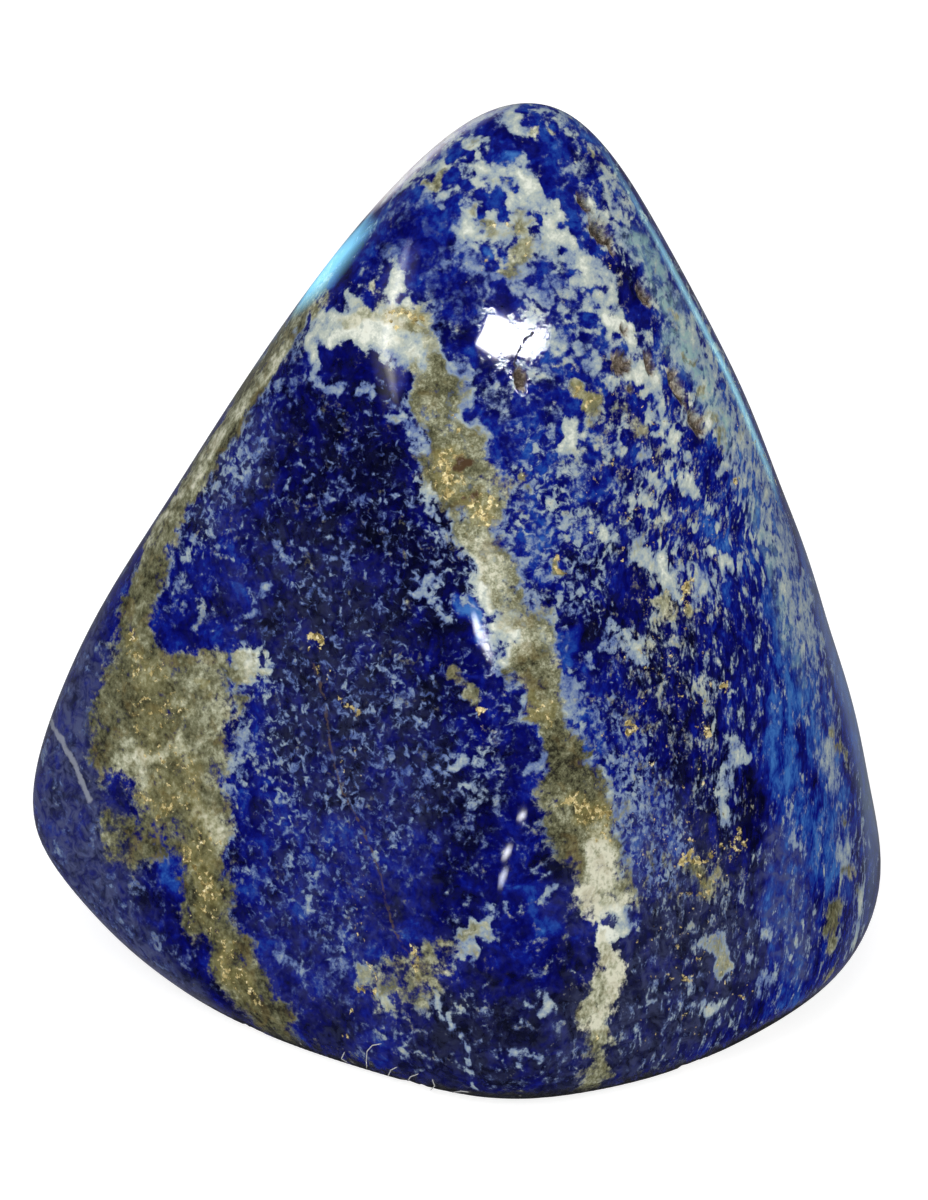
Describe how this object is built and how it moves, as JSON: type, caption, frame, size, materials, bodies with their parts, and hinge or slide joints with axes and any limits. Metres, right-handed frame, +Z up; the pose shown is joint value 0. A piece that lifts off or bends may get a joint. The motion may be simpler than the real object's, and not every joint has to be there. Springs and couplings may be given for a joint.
{
  "type": "polished lapis lazuli freeform stone",
  "caption": "Hand-ground, polished lapis lazuli freeform: a leaning pointed stone with broad soft-edged faces that stands by itself on a small flat foot.",
  "frame": {"origin": "on the floor under the middle of the stone's box; the flat foot lies at Z = 0", "axes": "+Z up, along the stone's height and longest side; the pitted front with its ridge faces -Y; +X to the viewer's right"},
  "size_m": [0.0762, 0.0526, 0.08],
  "materials": {
    "polished_lapis": "polished, with satin calcite, small metallic pyrite grains and matte open pits"
  },
  "bodies": {
    "root": {"lapis_stone": "polished_lapis"}
  },
  "joints": []
}
